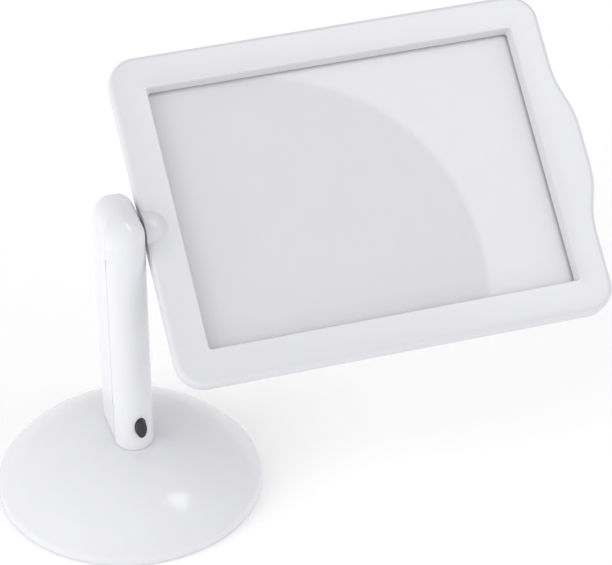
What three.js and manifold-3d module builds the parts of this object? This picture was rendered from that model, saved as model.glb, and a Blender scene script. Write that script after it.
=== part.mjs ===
// Desk magnifier: a framed rectangular lens on a side arm that stands on a weighted dome base.
// Millimetres, +Z up. The origin is on the ground, under the centre of the base.
// +X runs from the arm along the tilt axis towards the lens, and -Y is the user's side.
import * as THREE from 'three';
import { mergeVertices } from 'three/addons/utils/BufferGeometryUtils.js';
import Module from 'manifold-3d';

const wasm = await Module();
wasm.setup();

// ---- fits -------------------------------------------------------------------------------------
const GAP = 0.3;              // between parts that touch
const RUN = 0.1;              // radial play of a shaft in its bore
const CUT = 1;                // how far a cutter runs past the face that it cuts
const FAR = 400;              // longer than the whole object

// ---- sides of a full circle, by its size --------------------------------------------------------
const LARGE_SIDES = 48;
const ROUND_SIDES = 24;
const SMALL_SIDES = 14;
const TINY_SIDES = 8;

// ---- base -------------------------------------------------------------------------------------
const BASE_RADIUS = 67.2;
const RIM_BOTTOM = 0.7;
const RIM_TOP = 5.4;
const DOME_HEIGHT = 39.8;
const DOME_WALL = 2.2;
const PLATE_BOTTOM = 1.0;
const PLATE_THICKNESS = 2.8;
const FOOT_RADIUS = 7;
const FOOT_HEIGHT = 1.7;
const FOOT_RECESS = 1.0;
const FOOT_COUNT = 4;
const FOOT_CIRCLE = 55;
const CENTRE_PAD_RADIUS = 8;
const BALLAST_RADIUS = 55;
const BALLAST_THICKNESS = 7;
const POST_RADIUS = 3.4;
const POST_CIRCLE = 47;
const POST_COUNT = 4;

// ---- screws -----------------------------------------------------------------------------------
const SCREW_RADIUS = 1.0;
const SCREW_HEAD_RADIUS = 2.4;
const SCREW_HEAD_HEIGHT = 1.6;
const CROSS_WIDTH = 0.7;
const CROSS_DEPTH = 0.8;
const SCREW_SINK = 0.2;       // how far a head lies below the face round it
const SCREW_PILOT = 1.3;      // radius of the hole in a post
const BASE_SCREW_LENGTH = 9;
const ARM_SCREW_LENGTH = 10;
const HEAD_SCREW_LENGTH = 7;

// ---- battery bay ------------------------------------------------------------------------------
const CELL_RADIUS = 5.25;
const CELL_LENGTH = 44.5;
const CELL_COUNT = 3;
const CELL_PITCH = 11.2;
const HOLDER_WALL = 1.4;
const SPRING_ROOM = 3.2;
const HOLDER_REAR = -9.5;     // y of the holder's wall nearest the swivel
const DOOR_THICKNESS = 1.9;
const DOOR_OVERHANG = 1.2;
const DOOR_SET = 0.1;         // how far the door lies above the plate's underside
const DOOR_GRIP_RADIUS = 1.2;
const DOOR_GRIP_HALF_LENGTH = 7;
const DOOR_GRIP_INSET = 4;
const CELL_TIP_RADIUS = 1.9;
const CELL_TIP_HEIGHT = 1;
const STRIP_THICKNESS = 0.4;
const STRIP_HALF_HEIGHT = 4;
const WIRE_RADIUS = 0.35;
const SPRING_TURNS = 2.5;
const SPRING_WIDE = 3.4;      // radius of the coil at the holder's wall
const SPRING_NARROW = 1.6;    // radius of the coil at the cell

// ---- swivel between base and arm --------------------------------------------------------------
const SPIGOT_RADIUS = 5.5;
const SPIGOT_BORE = 3.4;
const SPIGOT_FLANGE = 6.6;
const SPIGOT_FLANGE_THICKNESS = 2.2;
const BEARING_RADIUS = 12;
const BEARING_DEPTH = 9;      // how far the bearing ring hangs under the dome
const WASHER_RADIUS = 9.5;
const WASHER_THICKNESS = 1.6;
const NUT_RADIUS = 9;
const NUT_THICKNESS = 5;

// ---- arm --------------------------------------------------------------------------------------
const ARM_HALF_WIDTH = 10.2;
const NOSE_HALF_WIDTH = 9.9;
const ARM_BACK = 10.9;        // y of the rear face
const ARM_SEAM = -12.6;       // y of the joint between rear and front shell
const NOSE_DEPTH = 9.5;
const ARM_TOP = 171;
const ARM_BACK_FILLET = 2.5;
const ARM_CROWN_FRONT = 11;   // fillet between the nose and the top
const ARM_CROWN_BACK = 3;
const ARM_WALL = 2;
const ARM_SCREW_HEIGHTS = [72, 128];
const ARM_BOSS_RADIUS = 3;
const ARM_SCREW_RECESS = 1.4; // from the rear face in to the top of a screw head
const SLEEVE_WALL = 1.6;
const SLEEVE_FLOOR = 1.4;
const NOTCH_WIDTH = 1.2;
const NOTCH_LENGTH = 5;
const NOTCH_HEIGHT = 144;

// ---- power button -----------------------------------------------------------------------------
const BUTTON_HALF_WIDTH = 2.8;
const BUTTON_HALF_HEIGHT = 5.2;
const BUTTON_X = 1.5;
const BUTTON_Z = 51.2;
const BUTTON_PROUD = 2.6;
const BUTTON_TRAVEL = 1.2;
const BUTTON_LIP = 1.1;
const PLUNGER_RADIUS = 1.3;
const SWITCH_SIZE = 7;
const SWITCH_DEPTH = 6;
const SHELF_THICKNESS = 1.2;

// ---- tilt axle --------------------------------------------------------------------------------
const PIVOT_Y = -4.42;
const PIVOT_HEIGHT = 155.59;
const AXLE_ROW = -2.3;         // y of the axle in the head's own plane
const REST_TILT = 37.7;       // degrees that the lens's long faces lean back from level
const AXLE_RADIUS = 3.6;
const AXLE_COLLAR_RADIUS = 5.6;
const AXLE_COLLAR_THICKNESS = 2;
const AXLE_TAIL = 2;          // shaft past the collar
const AXLE_BORE = 1.8;
const AXLE_NUT_RADIUS = 5.6;
const AXLE_NUT_THICKNESS = 3;
const TILT_WASHER_RADIUS = 6;
const TILT_WASHER_THICKNESS = 1;

// ---- lens head, in its own plane: x along the tilt axis, y up the face, z out of the face ------
const HEAD_LEFT = 10.9;       // x of the edge beside the arm
const BORDER = 17.2;
const WINDOW_WIDTH = 188.6;
const WINDOW_HEIGHT = 134.8;
const WINDOW_CORNER = 1.5;
const WINDOW_DRAFT = 1.5;     // how far the window wall leans in between face and lens
const HEAD_RIGHT_BORDER = 16;
const HEAD_CORNER = 14;
const HEAD_FRONT = 5.5;
const HEAD_BACK = -5;
const HEAD_EDGE = 2.4;        // rounding of the outer edges
const HEAD_WALL = 1.8;
const HEAD_SIDE_WALL = 2.4;
const GRIP_BULGE = 6.4;
const GRIP_HALF_FLAT = 8;
const GRIP_HALF_LENGTH = 47;
const LENS_FACE = -0.4;
const LENS_THICKNESS = 1.8;
const LENS_LAND = 2.4;        // width of lens hidden behind the frame
const HUB_RADIUS = 9.6;
const HUB_STRAIGHT = 3.3;
const HEAD_SCREW_BOSS = 2.7;
const HEAD_SCREW_INSET = 9;
const HEAD_SCREW_DROP = 4;    // how far the corner screws lie inside the row of the middle ones
const LED_STEPS = [-2, -1, 1, 2];
const LED_RADIUS = 1.5;
const LED_PITCH = 29.5;
const LED_BOARD_WIDTH = 6;
const LED_BOARD_THICKNESS = 1;
const LED_BOARD_END = 8;      // board past the last lamp
const LED_RECESS = 0.4;

// ---- values worked out from the sizes above ---------------------------------------------------
const RIM_INNER = BASE_RADIUS - DOME_WALL;
const DOME_RISE = DOME_HEIGHT - RIM_TOP;
const DOME_SPHERE = (BASE_RADIUS ** 2 + DOME_RISE ** 2) / (2 * DOME_RISE);
const DOME_CENTRE = DOME_HEIGHT - DOME_SPHERE;
const PLATE_TOP = PLATE_BOTTOM + PLATE_THICKNESS;
const BALLAST_BOTTOM = PLATE_TOP + GAP;
const BALLAST_TOP = BALLAST_BOTTOM + BALLAST_THICKNESS;
const CELL_HEIGHT = PLATE_TOP + GAP + CELL_RADIUS;
const HOLDER_LENGTH = CELL_LENGTH + 2 * SPRING_ROOM + 2 * HOLDER_WALL;
const HOLDER_DEPTH = CELL_COUNT * CELL_PITCH + 2 * HOLDER_WALL;
const HOLDER_CENTRE = HOLDER_REAR - HOLDER_DEPTH / 2;
const HOLDER_TOP = CELL_HEIGHT + CELL_RADIUS + GAP + HOLDER_WALL;
const BAY_LENGTH = HOLDER_LENGTH - 2 * HOLDER_WALL;
const STRIP_FACE = BAY_LENGTH / 2 - GAP / 2 - STRIP_THICKNESS;
const ARM_FRONT = ARM_SEAM - NOSE_DEPTH;
const ARM_FOOT = DOME_HEIGHT + GAP;
const ARM_FLOOR = ARM_FOOT + ARM_WALL;
const BEARING_BOTTOM = DOME_HEIGHT - BEARING_DEPTH;
const SPIGOT_BOTTOM = BEARING_BOTTOM - WASHER_THICKNESS - NUT_THICKNESS - 3 * GAP;
const WINDOW_LEFT = HEAD_LEFT + BORDER;
const WINDOW_RIGHT = WINDOW_LEFT + WINDOW_WIDTH;
const WINDOW_CENTRE = (WINDOW_LEFT + WINDOW_RIGHT) / 2;
const HEAD_RIGHT = WINDOW_RIGHT + HEAD_RIGHT_BORDER;
const HEAD_HALF_HEIGHT = WINDOW_HEIGHT / 2 + BORDER;
const LENS_BACK = LENS_FACE - LENS_THICKNESS;
const HUB_CENTRE = HEAD_LEFT + HUB_STRAIGHT;
const BUTTON_FACE = ARM_FRONT - BUTTON_PROUD;
const ARM_SCREW_FACE = ARM_BACK - ARM_SCREW_RECESS;
const ARM_SCREW_SEAT = ARM_SCREW_FACE - SCREW_HEAD_HEIGHT - GAP / 2;
const SLEEVE_FRONT = ARM_SCREW_SEAT - SLEEVE_FLOOR;
const LIP_REACH = (BUTTON_X + BUTTON_HALF_WIDTH + BUTTON_LIP) / (NOSE_HALF_WIDTH - ARM_WALL);
const LIP_FRONT = ARM_SEAM - (NOSE_DEPTH - ARM_WALL) * Math.sqrt(1 - LIP_REACH ** 2) + GAP;
const LIP_BACK = LIP_FRONT + BUTTON_TRAVEL;
const SWITCH_FRONT = LIP_BACK + BUTTON_TRAVEL + 2 * GAP;
const SWITCH_BACK = SWITCH_FRONT + SWITCH_DEPTH;
const BOARD_TOP = -GAP - GAP / 2;
const BOARD_BOTTOM = BOARD_TOP - LED_BOARD_THICKNESS;

// ---- materials --------------------------------------------------------------------------------
function finish(color, roughness, metalness) {
  return new THREE.MeshStandardMaterial({ color, roughness, metalness });
}

const WHITE = finish(0xf0f0f1, 0.35, 0);
const INNER_WHITE = finish(0xdedfe0, 0.5, 0);
const BLACK = finish(0x232425, 0.4, 0);
const RUBBER = finish(0x3a3a3c, 0.85, 0);
const STEEL = finish(0x9a9da1, 0.35, 1);
const BRASS = finish(0xb59a5a, 0.35, 1);
const BOARD = finish(0x2f6b45, 0.55, 0);
const CELL = finish(0x3d5a80, 0.4, 0.2);
const CLEAR = finish(0xe6e9ee, 0.05, 0);

// ---- solids -----------------------------------------------------------------------------------
// A closed geometry as a solid that can be joined and cut.
function solid(geometry) {
  const bare = geometry.index ? geometry.toNonIndexed() : geometry.clone();
  bare.deleteAttribute('normal');
  bare.deleteAttribute('uv');
  const merged = mergeVertices(bare, 1e-4);
  return new wasm.Manifold(new wasm.Mesh({
    numProp: 3,
    vertProperties: new Float32Array(merged.attributes.position.array),
    triVerts: new Uint32Array(merged.index.array),
  }));
}

// A solid as a geometry again.
function geometryOf(body) {
  const mesh = body.getMesh();
  const geometry = new THREE.BufferGeometry();
  geometry.setAttribute('position', new THREE.BufferAttribute(new Float32Array(mesh.vertProperties), 3));
  geometry.setIndex(new THREE.BufferAttribute(new Uint32Array(mesh.triVerts), 1));
  geometry.computeVertexNormals();
  return geometry;
}

function mesh(name, shape, material) {
  const geometry = shape.isBufferGeometry ? shape : geometryOf(shape);
  const item = new THREE.Mesh(geometry, material);
  item.name = name;
  return item;
}

const cutAll = (body, cutters) => cutters.reduce((rest, cutter) => rest.subtract(cutter), body);
const joinAll = (bodies) => bodies.reduce((sum, body) => sum.add(body));

// A box between two corners.
function box(low, high) {
  const size = high.map((value, axis) => value - low[axis]);
  const geometry = new THREE.BoxGeometry(...size);
  geometry.translate(...low.map((value, axis) => value + size[axis] / 2));
  return solid(geometry);
}

// A round bar along an axis, from one coordinate to another, centred on (a, b) of the other two.
function bar(axis, radius, from, to, a = 0, b = 0, sides = ROUND_SIDES) {
  const geometry = new THREE.CylinderGeometry(radius, radius, to - from, sides);
  const middle = (from + to) / 2;
  if (axis === 'x') {
    geometry.rotateZ(-Math.PI / 2);
    geometry.translate(middle, a, b);
  } else if (axis === 'y') {
    geometry.translate(a, middle, b);
  } else {
    geometry.rotateX(Math.PI / 2);
    geometry.translate(a, b, middle);
  }
  return solid(geometry);
}

// A profile of [radius, height] points, given from the top down, turned about the Z axis.
function turned(points, sides = LARGE_SIDES) {
  const profile = points.map(([r, z]) => new THREE.Vector2(r, z)).reverse();
  const geometry = new THREE.LatheGeometry(profile, sides);
  geometry.rotateX(Math.PI / 2);
  return solid(geometry);
}

// An outline in XY raised along Z from low to high.
function raised(shape, low, high, curveSegments = 4) {
  const options = { depth: high - low, bevelEnabled: false, curveSegments };
  const geometry = new THREE.ExtrudeGeometry(shape, options);
  geometry.translate(0, 0, low);
  return solid(geometry);
}

function roundedRectangle(left, right, bottom, top, radius) {
  const shape = new THREE.Shape();
  shape.moveTo(left + radius, bottom);
  shape.lineTo(right - radius, bottom);
  shape.absarc(right - radius, bottom + radius, radius, -Math.PI / 2, 0);
  shape.lineTo(right, top - radius);
  shape.absarc(right - radius, top - radius, radius, 0, Math.PI / 2);
  shape.lineTo(left + radius, top);
  shape.absarc(left + radius, top - radius, radius, Math.PI / 2, Math.PI);
  shape.lineTo(left, bottom + radius);
  shape.absarc(left + radius, bottom + radius, radius, Math.PI, Math.PI * 1.5);
  return shape;
}

// A cross-head screw at the origin, its head's top at z = 0 and its shank down -Z.
function screwSolid(length) {
  const head = bar('z', SCREW_HEAD_RADIUS, -SCREW_HEAD_HEIGHT, 0, 0, 0, SMALL_SIDES);
  const shank = bar('z', SCREW_RADIUS, -length, -SCREW_HEAD_HEIGHT / 2, 0, 0, TINY_SIDES);
  const reach = SCREW_HEAD_RADIUS * 0.62;
  const half = CROSS_WIDTH / 2;
  const slotA = box([-reach, -half, -CROSS_DEPTH], [reach, half, CUT]);
  const slotB = box([-half, -reach, -CROSS_DEPTH], [half, reach, CUT]);
  return cutAll(head.add(shank), [slotA, slotB]);
}

function screw(name, position, turn, length) {
  const item = mesh(name, screwSolid(length), STEEL);
  item.position.set(...position);
  item.rotation.x = turn;
  return item;
}

// Points spread evenly on a circle, the first one at the given angle.
function onCircle(count, radius, start) {
  return Array.from({ length: count }, (_, i) => {
    const angle = start + i * 2 * Math.PI / count;
    return [radius * Math.cos(angle), radius * Math.sin(angle)];
  });
}

// ---- base -------------------------------------------------------------------------------------
const FOOT_PLACES = onCircle(FOOT_COUNT, FOOT_CIRCLE, 0);
const POST_PLACES = onCircle(POST_COUNT, POST_CIRCLE, Math.PI / 4);

// Height of the dome's outer surface, moved out by grow, at a distance from the axis.
const domeSurface = (radius, grow = 0) => DOME_CENTRE + Math.sqrt((DOME_SPHERE + grow) ** 2 - radius ** 2);

// [radius, height] points down the dome from the apex to the rim, moved out by grow.
function domeArc(grow, rim, steps) {
  const points = [];
  for (let i = 0; i <= steps; i += 1) {
    const radius = rim * Math.sin((Math.PI / 2) * i / steps);
    points.push([radius, domeSurface(radius, grow)]);
  }
  return points;
}

// Upright posts under the dome, or holes up through them.
function atPosts(radius, from, to, sides) {
  return POST_PLACES.map(([x, y]) => bar('z', radius, from, to, x, y, sides));
}

function baseShell() {
  const outer = turned([...domeArc(0, BASE_RADIUS, 10), [BASE_RADIUS, RIM_BOTTOM], [0, RIM_BOTTOM]]);
  const below = RIM_BOTTOM - CUT;
  const inner = turned([...domeArc(-DOME_WALL, RIM_INNER, 8), [RIM_INNER, below], [0, below]]);
  const middle = domeArc(-DOME_WALL / 2, RIM_INNER, 8);
  const hidden = turned([...middle, [RIM_INNER, BALLAST_BOTTOM], [0, BALLAST_BOTTOM]]);
  const ring = bar('z', BEARING_RADIUS, BEARING_BOTTOM, DOME_HEIGHT);
  const posts = atPosts(POST_RADIUS, BALLAST_BOTTOM, DOME_HEIGHT, SMALL_SIDES);
  const fittings = [ring, ...posts].map((item) => item.intersect(hidden));
  const shell = joinAll([outer.subtract(inner), ...fittings]);
  const spigotHole = bar('z', SPIGOT_RADIUS + RUN, 0, DOME_HEIGHT + CUT);
  const pilots = atPosts(SCREW_PILOT, 0, BALLAST_TOP + POST_RADIUS, TINY_SIDES);
  return mesh('base_shell', cutAll(shell, [spigotHole, ...pilots]), WHITE);
}

function doorOutline(grow) {
  const halfLength = HOLDER_LENGTH / 2 - HOLDER_WALL + grow;
  const halfDepth = HOLDER_DEPTH / 2 - HOLDER_WALL + grow;
  return roundedRectangle(-halfLength, halfLength, HOLDER_CENTRE - halfDepth, HOLDER_CENTRE + halfDepth, 2);
}

// Round pads' places: radius and centre of each foot, then of the pad in the middle.
const PADS = [...FOOT_PLACES.map(([x, y]) => [FOOT_RADIUS, x, y]), [CENTRE_PAD_RADIUS, 0, 0]];

function basePlate() {
  const below = PLATE_BOTTOM - CUT;
  const disc = bar('z', RIM_INNER - GAP, PLATE_BOTTOM, PLATE_TOP, 0, 0, LARGE_SIDES);
  const opening = raised(doorOutline(-GAP), below, PLATE_TOP + CUT);
  const seat = raised(doorOutline(DOOR_OVERHANG), below, PLATE_BOTTOM + DOOR_THICKNESS);
  const recesses = PADS.map(([radius, x, y]) => (
    bar('z', radius + GAP, below, PLATE_BOTTOM + FOOT_RECESS, x, y)
  ));
  const sinkTop = PLATE_BOTTOM + SCREW_SINK + SCREW_HEAD_HEIGHT + GAP / 2;
  const sinks = atPosts(SCREW_HEAD_RADIUS + GAP, below, sinkTop, SMALL_SIDES);
  const screwHoles = atPosts(SCREW_RADIUS + GAP, below, PLATE_TOP + CUT, TINY_SIDES);
  const cutters = [opening, seat, ...recesses, ...sinks, ...screwHoles];
  return mesh('base_plate', cutAll(disc, cutters), INNER_WHITE);
}

function basePads() {
  return PADS.map(([radius, x, y], i) => {
    const name = i < FOOT_COUNT ? `foot_pad_${i + 1}` : 'centre_pad';
    return mesh(name, bar('z', radius, 0, FOOT_HEIGHT, x, y), RUBBER);
  });
}

function ballast() {
  const disc = bar('z', BALLAST_RADIUS, BALLAST_BOTTOM, BALLAST_TOP, 0, 0, LARGE_SIDES);
  const low = BALLAST_BOTTOM - CUT;
  const high = BALLAST_TOP + CUT;
  const halfLength = HOLDER_LENGTH / 2 + GAP;
  const front = HOLDER_REAR - HOLDER_DEPTH - GAP;
  const bay = box([-halfLength, front, low], [halfLength, HOLDER_REAR + GAP, high]);
  const holes = atPosts(POST_RADIUS + GAP, low, high, SMALL_SIDES);
  return mesh('ballast_plate', cutAll(disc, [bay, ...holes]), STEEL);
}

function batteryHolder() {
  const low = [-HOLDER_LENGTH / 2, HOLDER_REAR - HOLDER_DEPTH, PLATE_TOP + GAP];
  const high = [HOLDER_LENGTH / 2, HOLDER_REAR, HOLDER_TOP];
  const room = box(
    [low[0] + HOLDER_WALL, low[1] + HOLDER_WALL, low[2] - CUT],
    [high[0] - HOLDER_WALL, high[1] - HOLDER_WALL, high[2] - HOLDER_WALL],
  );
  return mesh('battery_holder', box(low, high).subtract(room), BLACK);
}

function batteryDoor() {
  const top = PLATE_BOTTOM + DOOR_THICKNESS - GAP;
  const leaf = raised(doorOutline(DOOR_OVERHANG - GAP), PLATE_BOTTOM + DOOR_SET, top);
  const gripY = HOLDER_REAR - HOLDER_DEPTH + DOOR_GRIP_INSET;
  const half = DOOR_GRIP_HALF_LENGTH;
  const grip = bar('x', DOOR_GRIP_RADIUS, -half, half, gripY, PLATE_BOTTOM, SMALL_SIDES);
  return mesh('battery_door', leaf.subtract(grip), INNER_WHITE);
}

// A conical contact spring of round wire, from the contact strip to the cell's flat end.
function contactSpring(name, y, side) {
  const steps = SPRING_TURNS * 8;
  const wide = STRIP_FACE - GAP - WIRE_RADIUS;
  const narrow = CELL_LENGTH / 2 + GAP + WIRE_RADIUS;
  const points = [];
  for (let i = 0; i <= steps; i += 1) {
    const t = i / steps;
    const radius = SPRING_WIDE + (SPRING_NARROW - SPRING_WIDE) * t;
    const angle = t * SPRING_TURNS * 2 * Math.PI;
    const x = side * (wide + (narrow - wide) * t);
    points.push(new THREE.Vector3(x, y + radius * Math.cos(angle), CELL_HEIGHT + radius * Math.sin(angle)));
  }
  const section = new THREE.Shape();
  section.absarc(0, 0, WIRE_RADIUS, 0, 2 * Math.PI);
  const extrudePath = new THREE.CatmullRomCurve3(points);
  const options = { steps, extrudePath, curveSegments: 3, bevelEnabled: false };
  return mesh(name, solid(new THREE.ExtrudeGeometry(section, options)), STEEL);
}

// A bar along X between two coordinates given in either order.
function lyingBar(radius, end, otherEnd, y, sides) {
  return bar('x', radius, Math.min(end, otherEnd), Math.max(end, otherEnd), y, CELL_HEIGHT, sides);
}

// A dry cell whose tip points along side, with the spring behind it.
function cell(number) {
  const side = number % 2 === 0 ? -1 : 1;
  const y = HOLDER_REAR - HOLDER_WALL - CELL_PITCH * (number - 0.5);
  const shoulder = side * (CELL_LENGTH / 2 - CELL_TIP_HEIGHT);
  const can = lyingBar(CELL_RADIUS, -side * CELL_LENGTH / 2, shoulder, y, ROUND_SIDES);
  const tip = lyingBar(CELL_TIP_RADIUS, 0, side * CELL_LENGTH / 2, y, SMALL_SIDES);
  const spring = contactSpring(`contact_spring_${number}`, y, -side);
  return [mesh(`battery_${number}`, can.add(tip), CELL), spring];
}

function contactStrip(name, side) {
  const faces = [side * STRIP_FACE, side * (STRIP_FACE + STRIP_THICKNESS)].sort((a, b) => a - b);
  const front = HOLDER_REAR - HOLDER_DEPTH + HOLDER_WALL + GAP;
  const low = [faces[0], front, CELL_HEIGHT - STRIP_HALF_HEIGHT];
  const high = [faces[1], HOLDER_REAR - HOLDER_WALL - GAP, CELL_HEIGHT + STRIP_HALF_HEIGHT];
  return mesh(name, box(low, high), BRASS);
}

function baseGroup() {
  const group = new THREE.Group();
  group.add(baseShell(), basePlate(), ...basePads(), ballast(), batteryHolder(), batteryDoor());
  for (let number = 1; number <= CELL_COUNT; number += 1) {
    group.add(...cell(number));
  }
  group.add(contactStrip('contact_strip_left', -1), contactStrip('contact_strip_right', 1));
  POST_PLACES.forEach(([x, y], i) => {
    group.add(screw(`base_screw_${i + 1}`, [x, y, PLATE_BOTTOM + SCREW_SINK], Math.PI, BASE_SCREW_LENGTH));
  });
  return group;
}

// ---- arm --------------------------------------------------------------------------------------
// Plan of the arm: a straight back with filleted corners, and an elliptical nose to the front.
function armPlan(inset) {
  const half = ARM_HALF_WIDTH - inset;
  const nose = NOSE_HALF_WIDTH - inset;
  const fillet = Math.max(ARM_BACK_FILLET - inset, 0.5);
  const back = ARM_BACK - inset;
  const shape = new THREE.Shape();
  shape.moveTo(half - fillet, back);
  shape.lineTo(-half + fillet, back);
  shape.absarc(-half + fillet, back - fillet, fillet, Math.PI / 2, Math.PI);
  shape.lineTo(-nose, ARM_SEAM);
  shape.absellipse(0, ARM_SEAM, nose, NOSE_DEPTH - inset, Math.PI, 2 * Math.PI, false, 0);
  shape.lineTo(half, back - fillet);
  shape.absarc(half - fillet, back - fillet, fillet, 0, Math.PI / 2);
  return shape;
}

// Front view of the arm: straight sides under a half-round top. Drawn in X and height.
function armArch(inset, bottom) {
  const half = ARM_HALF_WIDTH - inset;
  const spring = ARM_TOP - ARM_HALF_WIDTH;
  const shape = new THREE.Shape();
  shape.moveTo(-half, bottom);
  shape.lineTo(half, bottom);
  shape.lineTo(half, spring);
  shape.absarc(0, spring, half, 0, Math.PI);
  return shape;
}

// Side view of the arm: a large fillet from the nose to the top, a small one at the back.
function armSide(inset, bottom) {
  const front = ARM_FRONT + inset;
  const back = ARM_BACK - inset;
  const top = ARM_TOP - inset;
  const crown = ARM_CROWN_FRONT - inset;
  const rear = ARM_CROWN_BACK - inset;
  const shape = new THREE.Shape();
  shape.moveTo(front, bottom);
  shape.lineTo(back, bottom);
  shape.lineTo(back, top - rear);
  shape.absarc(back - rear, top - rear, rear, 0, Math.PI / 2);
  shape.lineTo(front + crown, top);
  shape.absarc(front + crown, top - crown, crown, Math.PI / 2, Math.PI);
  return shape;
}

// An outline of the arm run right across it along Y.
function acrossArm(shape, curveSegments) {
  const options = { depth: FAR, bevelEnabled: false, curveSegments };
  const geometry = new THREE.ExtrudeGeometry(shape, options);
  geometry.rotateX(Math.PI / 2);
  geometry.translate(0, FAR / 2, 0);
  return geometry;
}

// The arm's whole outer body, or the room inside it when inset is the wall.
function armBody(inset, bottom) {
  const plan = raised(armPlan(inset), bottom, ARM_TOP + CUT, 8);
  const arch = acrossArm(armArch(inset, bottom), 10);
  const side = acrossArm(armSide(inset, bottom), 6);
  side.rotateZ(Math.PI / 2);
  return plan.intersect(solid(arch)).intersect(solid(side));
}

// Ball that the foot of the arm is hollowed to, so that it turns just above the dome.
function domeBall(grow) {
  const geometry = new THREE.SphereGeometry(DOME_SPHERE + grow, 96, 64);
  geometry.rotateX(Math.PI / 2);
  geometry.translate(0, 0, DOME_CENTRE);
  return solid(geometry);
}

// An oval block along Y, at the button's place.
function buttonBlock(grow, from, to) {
  const shape = new THREE.Shape();
  shape.absellipse(0, 0, BUTTON_HALF_WIDTH + grow, BUTTON_HALF_HEIGHT + grow, 0, 2 * Math.PI, false, 0);
  const options = { depth: to - from, bevelEnabled: false, curveSegments: 12 };
  const geometry = new THREE.ExtrudeGeometry(shape, options);
  geometry.rotateX(Math.PI / 2);
  geometry.translate(BUTTON_X, to, BUTTON_Z);
  return solid(geometry);
}

// Bars along Y at the heights of the arm's screws.
function atArmScrews(radius, from, to, sides) {
  return ARM_SCREW_HEIGHTS.map((z) => bar('y', radius, from, to, 0, z, sides));
}

function armRearShell(walls) {
  const half = box([-FAR, ARM_SEAM + GAP / 2, 0], [FAR, FAR, FAR]);
  const sleeveBack = ARM_BACK - ARM_WALL / 2;
  const sleeves = atArmScrews(SCREW_HEAD_RADIUS + SLEEVE_WALL, SLEEVE_FRONT, sleeveBack, SMALL_SIDES);
  const sinks = atArmScrews(SCREW_HEAD_RADIUS + GAP, ARM_SCREW_SEAT, FAR, SMALL_SIDES);
  const holes = atArmScrews(SCREW_RADIUS + GAP, 0, FAR, TINY_SIDES);
  const spigotHole = bar('z', SPIGOT_RADIUS + GAP, 0, ARM_FLOOR + CUT);
  const axleHole = bar('x', AXLE_RADIUS + RUN, 0, FAR, PIVOT_Y, PIVOT_HEIGHT);
  const body = joinAll([walls.intersect(half), ...sleeves]);
  return mesh('arm_rear_shell', cutAll(body, [spigotHole, axleHole, ...sinks, ...holes]), WHITE);
}

// Two shelves inside the nose, above and below the switch.
function switchShelves(body) {
  const gapHalf = SWITCH_SIZE / 2 + GAP;
  return [-gapHalf - SHELF_THICKNESS, gapHalf].map((low) => {
    const bottom = BUTTON_Z + low;
    return box([-FAR, SWITCH_FRONT, bottom], [FAR, ARM_SEAM, bottom + SHELF_THICKNESS]).intersect(body);
  });
}

function armFrontShell(walls, body) {
  const half = box([-FAR, -FAR, 0], [FAR, ARM_SEAM - GAP / 2, FAR]);
  const bossEnd = SLEEVE_FRONT - GAP;
  const bosses = atArmScrews(ARM_BOSS_RADIUS, ARM_FRONT + ARM_WALL / 2, bossEnd, SMALL_SIDES);
  const pilots = atArmScrews(SCREW_PILOT, bossEnd - ARM_SCREW_LENGTH, FAR, TINY_SIDES);
  const shelves = switchShelves(body).map((shelf) => shelf.intersect(half));
  const notch = box(
    [-FAR, ARM_SEAM - NOTCH_WIDTH, NOTCH_HEIGHT],
    [-NOSE_HALF_WIDTH + ARM_WALL / 3, ARM_SEAM - GAP, NOTCH_HEIGHT + NOTCH_LENGTH],
  );
  const shell = joinAll([walls.intersect(half), ...bosses, ...shelves]);
  const slot = buttonBlock(GAP, ARM_FRONT - CUT, ARM_SEAM);
  return mesh('arm_front_shell', cutAll(shell, [slot, notch, ...pilots]), WHITE);
}

function armShells() {
  const bottom = domeSurface(Math.hypot(ARM_HALF_WIDTH, ARM_FRONT)) - GAP;
  const body = armBody(0, bottom).subtract(domeBall(GAP));
  const walls = body.subtract(armBody(ARM_WALL, ARM_FLOOR));
  return [armRearShell(walls), armFrontShell(walls, body)];
}

function armScrews() {
  return ARM_SCREW_HEIGHTS.map((z, i) => (
    screw(`arm_screw_${i + 1}`, [0, ARM_SCREW_FACE, z], -Math.PI / 2, ARM_SCREW_LENGTH)
  ));
}

// Square-headed tube that holds the arm down on the dome, with its washer and nut underneath.
function swivelParts() {
  const flangeBottom = ARM_FLOOR + GAP;
  const flangeTop = flangeBottom + SPIGOT_FLANGE_THICKNESS;
  const half = SPIGOT_FLANGE;
  const flange = box([-half, -half, flangeBottom], [half, half, flangeTop]);
  const tube = bar('z', SPIGOT_RADIUS, SPIGOT_BOTTOM, flangeTop);
  const bore = bar('z', SPIGOT_BORE, SPIGOT_BOTTOM - CUT, flangeTop + CUT);
  const washerTop = BEARING_BOTTOM - GAP;
  const washerBottom = washerTop - WASHER_THICKNESS;
  const hole = bar('z', SPIGOT_RADIUS + GAP, 0, DOME_HEIGHT);
  const washer = bar('z', WASHER_RADIUS, washerBottom, washerTop).subtract(hole);
  const nutTop = washerBottom - GAP;
  const nut = bar('z', NUT_RADIUS, nutTop - NUT_THICKNESS, nutTop, 0, 0, 6).subtract(hole);
  return [
    mesh('swivel_spigot', tube.add(flange).subtract(bore), STEEL),
    mesh('swivel_washer', washer, BRASS),
    mesh('swivel_nut', nut, STEEL),
  ];
}

// A bar along Y at the button's place.
const behindButton = (radius, from, to) => bar('y', radius, from, to, BUTTON_X, BUTTON_Z);

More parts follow.
